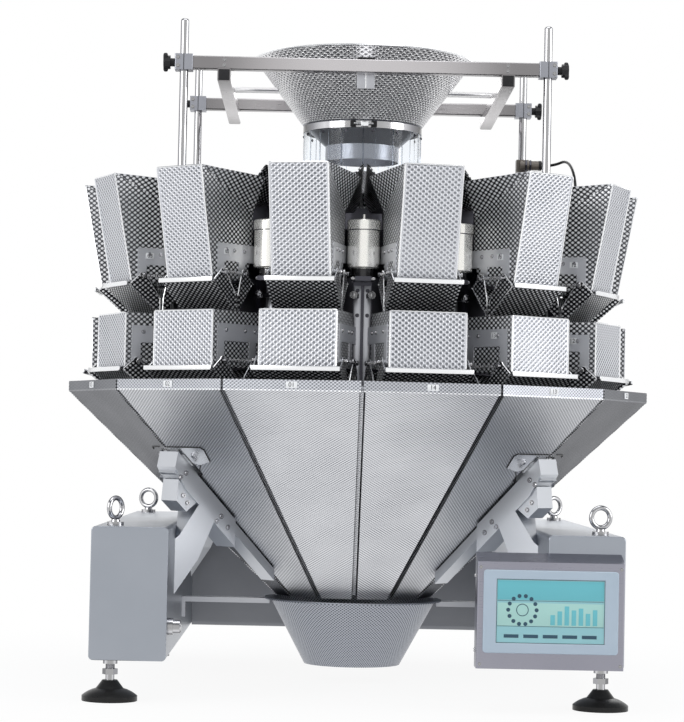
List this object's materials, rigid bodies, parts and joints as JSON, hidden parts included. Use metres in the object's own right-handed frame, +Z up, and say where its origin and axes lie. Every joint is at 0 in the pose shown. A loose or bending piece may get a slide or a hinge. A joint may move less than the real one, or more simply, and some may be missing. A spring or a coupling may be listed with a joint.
{
  "type": "multihead weigher",
  "caption": "Round combination weigher: vibrating feeder pans, feed and weigh hoppers with swinging doors, a discharge cone, a U-shaped base and a touch panel.",
  "frame": {"origin": "on the floor, on the machine's vertical axis", "axes": "+Z up, -Y towards the operator, +X to the operator's right"},
  "size_m": [1.1262, 1.154, 1.268],
  "materials": {
    "dimpled_steel": "dimpled stainless sheet",
    "satin_steel": "satin stainless plate",
    "polished_steel": "polished stainless",
    "aluminium": "machined aluminium",
    "black_rubber": "satin black",
    "black_plastic": "matt black",
    "clear_plastic": "clear",
    "can_enamel": "cream enamel",
    "panel_white": "satin off-white",
    "display": "lit display",
    "sensor_brown": "grey-brown"
  },
  "bodies": {
    "machine": {"feed_hoppers": "dimpled_steel", "weigh_hoppers": "dimpled_steel", "hopper_hangers": "satin_steel", "rear_hopper_doors": "dimpled_steel", "base_box_left": "satin_steel", "base_box_right": "satin_steel", "base_rear_box": "satin_steel", "foot_pads": "black_rubber", "foot_stems": "polished_steel", "eye_bolts": "polished_steel", "base_connector": "polished_steel", "support_legs": "satin_steel", "drum_housing": "satin_steel", "drum_top_plate": "satin_steel", "drive_modules": "satin_steel", "vibrator_cans": "can_enamel", "feeder_vibrators": "satin_steel", "linear_pans": "dimpled_steel", "top_cone": "dimpled_steel", "discharge_chutes": "dimpled_steel", "collecting_funnel": "dimpled_steel", "funnel_support_bars": "satin_steel", "support_rods": "polished_steel", "hmi_housing": "satin_steel", "hmi_bezel": "panel_white", "hmi_screen": "display", "level_sensor": "sensor_brown", "sensor_cable": "black_plastic"},
    "infeed_stand": {"infeed_frame": "satin_steel", "clamp_blocks": "aluminium", "clamp_knobs": "black_plastic", "infeed_funnel": "dimpled_steel", "neck_band": "polished_steel", "clear_tube": "clear_plastic"},
    "feed_outer_door_01": {"feed_outer_door_01": "dimpled_steel"},
    "feed_inner_door_01": {"feed_inner_door_01": "dimpled_steel"},
    "weigh_outer_door_01": {"weigh_outer_door_01": "dimpled_steel"},
    "weigh_inner_door_01": {"weigh_inner_door_01": "dimpled_steel"},
    "feed_outer_door_02": {"feed_outer_door_02": "dimpled_steel"},
    "feed_inner_door_02": {"feed_inner_door_02": "dimpled_steel"},
    "weigh_outer_door_02": {"weigh_outer_door_02": "dimpled_steel"},
    "weigh_inner_door_02": {"weigh_inner_door_02": "dimpled_steel"},
    "feed_outer_door_03": {"feed_outer_door_03": "dimpled_steel"},
    "feed_inner_door_03": {"feed_inner_door_03": "dimpled_steel"},
    "weigh_outer_door_03": {"weigh_outer_door_03": "dimpled_steel"},
    "weigh_inner_door_03": {"weigh_inner_door_03": "dimpled_steel"},
    "feed_outer_door_12": {"feed_outer_door_12": "dimpled_steel"},
    "feed_inner_door_12": {"feed_inner_door_12": "dimpled_steel"},
    "weigh_outer_door_12": {"weigh_outer_door_12": "dimpled_steel"},
    "weigh_inner_door_12": {"weigh_inner_door_12": "dimpled_steel"},
    "feed_outer_door_13": {"feed_outer_door_13": "dimpled_steel"},
    "feed_inner_door_13": {"feed_inner_door_13": "dimpled_steel"},
    "weigh_outer_door_13": {"weigh_outer_door_13": "dimpled_steel"},
    "weigh_inner_door_13": {"weigh_inner_door_13": "dimpled_steel"},
    "feed_outer_door_14": {"feed_outer_door_14": "dimpled_steel"},
    "feed_inner_door_14": {"feed_inner_door_14": "dimpled_steel"},
    "weigh_outer_door_14": {"weigh_outer_door_14": "dimpled_steel"},
    "weigh_inner_door_14": {"weigh_inner_door_14": "dimpled_steel"}
  },
  "joints": [
    {"name": "infeed_height", "type": "slide", "parent": "machine", "child": "infeed_stand", "axis": [0, 0, 1], "range_m": [-0.02, 0.04]},
    {"name": "feed_outer_door_01_hinge", "type": "hinge", "parent": "machine", "child": "feed_outer_door_01", "pos_m": [-0.10881, -0.47674, 0.778], "axis": [-0.9749, 0.2225, 0], "range_deg": [0, 40], "stiffness_Nm_per_rad": 0.4, "springref_deg": -17.19},
    {"name": "feed_inner_door_01_hinge", "type": "hinge", "parent": "machine", "child": "feed_inner_door_01", "pos_m": [-0.09568, -0.41922, 0.778], "axis": [0.9749, -0.2225, 0], "range_deg": [0, 40], "stiffness_Nm_per_rad": 0.4, "springref_deg": -17.19},
    {"name": "weigh_outer_door_01_hinge", "type": "hinge", "parent": "machine", "child": "weigh_outer_door_01", "pos_m": [-0.11215, -0.49136, 0.616], "axis": [-0.9749, 0.2225, 0], "range_deg": [0, 40], "stiffness_Nm_per_rad": 0.4, "springref_deg": -17.19},
    {"name": "weigh_inner_door_01_hinge", "type": "hinge", "parent": "machine", "child": "weigh_inner_door_01", "pos_m": [-0.09235, -0.40459, 0.616], "axis": [0.9749, -0.2225, 0], "range_deg": [0, 40], "stiffness_Nm_per_rad": 0.4, "springref_deg": -17.19},
    {"name": "feed_outer_door_02_hinge", "type": "hinge", "parent": "machine", "child": "feed_outer_door_02", "pos_m": [-0.30489, -0.38232, 0.778], "axis": [-0.7818, 0.6235, 0], "range_deg": [0, 40], "stiffness_Nm_per_rad": 0.4, "springref_deg": -17.19},
    {"name": "feed_inner_door_02_hinge", "type": "hinge", "parent": "machine", "child": "feed_inner_door_02", "pos_m": [-0.2681, -0.33619, 0.778], "axis": [0.7818, -0.6235, 0], "range_deg": [0, 40], "stiffness_Nm_per_rad": 0.4, "springref_deg": -17.19},
    {"name": "weigh_outer_door_02_hinge", "type": "hinge", "parent": "machine", "child": "weigh_outer_door_02", "pos_m": [-0.31424, -0.39404, 0.616], "axis": [-0.7818, 0.6235, 0], "range_deg": [0, 40], "stiffness_Nm_per_rad": 0.4, "springref_deg": -17.19},
    {"name": "weigh_inner_door_02_hinge", "type": "hinge", "parent": "machine", "child": "weigh_inner_door_02", "pos_m": [-0.25875, -0.32446, 0.616], "axis": [0.7818, -0.6235, 0], "range_deg": [0, 40], "stiffness_Nm_per_rad": 0.4, "springref_deg": -17.19},
    {"name": "feed_outer_door_03_hinge", "type": "hinge", "parent": "machine", "child": "feed_outer_door_03", "pos_m": [-0.44057, -0.21217, 0.778], "axis": [-0.4339, 0.901, 0], "range_deg": [0, 40], "stiffness_Nm_per_rad": 0.4, "springref_deg": -17.19},
    {"name": "feed_inner_door_03_hinge", "type": "hinge", "parent": "machine", "child": "feed_inner_door_03", "pos_m": [-0.38742, -0.18657, 0.778], "axis": [0.4339, -0.901, 0], "range_deg": [0, 40], "stiffness_Nm_per_rad": 0.4, "springref_deg": -17.19},
    {"name": "weigh_outer_door_03_hinge", "type": "hinge", "parent": "machine", "child": "weigh_outer_door_03", "pos_m": [-0.45409, -0.21868, 0.616], "axis": [-0.4339, 0.901, 0], "range_deg": [0, 40], "stiffness_Nm_per_rad": 0.4, "springref_deg": -17.19},
    {"name": "weigh_inner_door_03_hinge", "type": "hinge", "parent": "machine", "child": "weigh_inner_door_03", "pos_m": [-0.3739, -0.18006, 0.616], "axis": [0.4339, -0.901, 0], "range_deg": [0, 40], "stiffness_Nm_per_rad": 0.4, "springref_deg": -17.19},
    {"name": "feed_outer_door_12_hinge", "type": "hinge", "parent": "machine", "child": "feed_outer_door_12", "pos_m": [0.44057, -0.21217, 0.778], "axis": [-0.4339, -0.901, 0], "range_deg": [0, 40], "stiffness_Nm_per_rad": 0.4, "springref_deg": -17.19},
    {"name": "feed_inner_door_12_hinge", "type": "hinge", "parent": "machine", "child": "feed_inner_door_12", "pos_m": [0.38742, -0.18657, 0.778], "axis": [0.4339, 0.901, 0], "range_deg": [0, 40], "stiffness_Nm_per_rad": 0.4, "springref_deg": -17.19},
    {"name": "weigh_outer_door_12_hinge", "type": "hinge", "parent": "machine", "child": "weigh_outer_door_12", "pos_m": [0.45409, -0.21868, 0.616], "axis": [-0.4339, -0.901, 0], "range_deg": [0, 40], "stiffness_Nm_per_rad": 0.4, "springref_deg": -17.19},
    {"name": "weigh_inner_door_12_hinge", "type": "hinge", "parent": "machine", "child": "weigh_inner_door_12", "pos_m": [0.3739, -0.18006, 0.616], "axis": [0.4339, 0.901, 0], "range_deg": [0, 40], "stiffness_Nm_per_rad": 0.4, "springref_deg": -17.19},
    {"name": "feed_outer_door_13_hinge", "type": "hinge", "parent": "machine", "child": "feed_outer_door_13", "pos_m": [0.30489, -0.38232, 0.778], "axis": [-0.7818, -0.6235, 0], "range_deg": [0, 40], "stiffness_Nm_per_rad": 0.4, "springref_deg": -17.19},
    {"name": "feed_inner_door_13_hinge", "type": "hinge", "parent": "machine", "child": "feed_inner_door_13", "pos_m": [0.2681, -0.33619, 0.778], "axis": [0.7818, 0.6235, 0], "range_deg": [0, 40], "stiffness_Nm_per_rad": 0.4, "springref_deg": -17.19},
    {"name": "weigh_outer_door_13_hinge", "type": "hinge", "parent": "machine", "child": "weigh_outer_door_13", "pos_m": [0.31424, -0.39404, 0.616], "axis": [-0.7818, -0.6235, 0], "range_deg": [0, 40], "stiffness_Nm_per_rad": 0.4, "springref_deg": -17.19},
    {"name": "weigh_inner_door_13_hinge", "type": "hinge", "parent": "machine", "child": "weigh_inner_door_13", "pos_m": [0.25875, -0.32446, 0.616], "axis": [0.7818, 0.6235, 0], "range_deg": [0, 40], "stiffness_Nm_per_rad": 0.4, "springref_deg": -17.19},
    {"name": "feed_outer_door_14_hinge", "type": "hinge", "parent": "machine", "child": "feed_outer_door_14", "pos_m": [0.10881, -0.47674, 0.778], "axis": [-0.9749, -0.2225, 0], "range_deg": [0, 40], "stiffness_Nm_per_rad": 0.4, "springref_deg": -17.19},
    {"name": "feed_inner_door_14_hinge", "type": "hinge", "parent": "machine", "child": "feed_inner_door_14", "pos_m": [0.09568, -0.41922, 0.778], "axis": [0.9749, 0.2225, 0], "range_deg": [0, 40], "stiffness_Nm_per_rad": 0.4, "springref_deg": -17.19},
    {"name": "weigh_outer_door_14_hinge", "type": "hinge", "parent": "machine", "child": "weigh_outer_door_14", "pos_m": [0.11215, -0.49136, 0.616], "axis": [-0.9749, -0.2225, 0], "range_deg": [0, 40], "stiffness_Nm_per_rad": 0.4, "springref_deg": -17.19},
    {"name": "weigh_inner_door_14_hinge", "type": "hinge", "parent": "machine", "child": "weigh_inner_door_14", "pos_m": [0.09235, -0.40459, 0.616], "axis": [0.9749, 0.2225, 0], "range_deg": [0, 40], "stiffness_Nm_per_rad": 0.4, "springref_deg": -17.19}
  ],
  "couplings": [
    {"joint": "feed_inner_door_01_hinge", "follows": "feed_outer_door_01_hinge", "ratio": 1},
    {"joint": "weigh_inner_door_01_hinge", "follows": "weigh_outer_door_01_hinge", "ratio": 1},
    {"joint": "feed_inner_door_02_hinge", "follows": "feed_outer_door_02_hinge", "ratio": 1},
    {"joint": "weigh_inner_door_02_hinge", "follows": "weigh_outer_door_02_hinge", "ratio": 1},
    {"joint": "feed_inner_door_03_hinge", "follows": "feed_outer_door_03_hinge", "ratio": 1},
    {"joint": "weigh_inner_door_03_hinge", "follows": "weigh_outer_door_03_hinge", "ratio": 1},
    {"joint": "feed_inner_door_12_hinge", "follows": "feed_outer_door_12_hinge", "ratio": 1},
    {"joint": "weigh_inner_door_12_hinge", "follows": "weigh_outer_door_12_hinge", "ratio": 1},
    {"joint": "feed_inner_door_13_hinge", "follows": "feed_outer_door_13_hinge", "ratio": 1},
    {"joint": "weigh_inner_door_13_hinge", "follows": "weigh_outer_door_13_hinge", "ratio": 1},
    {"joint": "feed_inner_door_14_hinge", "follows": "feed_outer_door_14_hinge", "ratio": 1},
    {"joint": "weigh_inner_door_14_hinge", "follows": "weigh_outer_door_14_hinge", "ratio": 1}
  ]
}
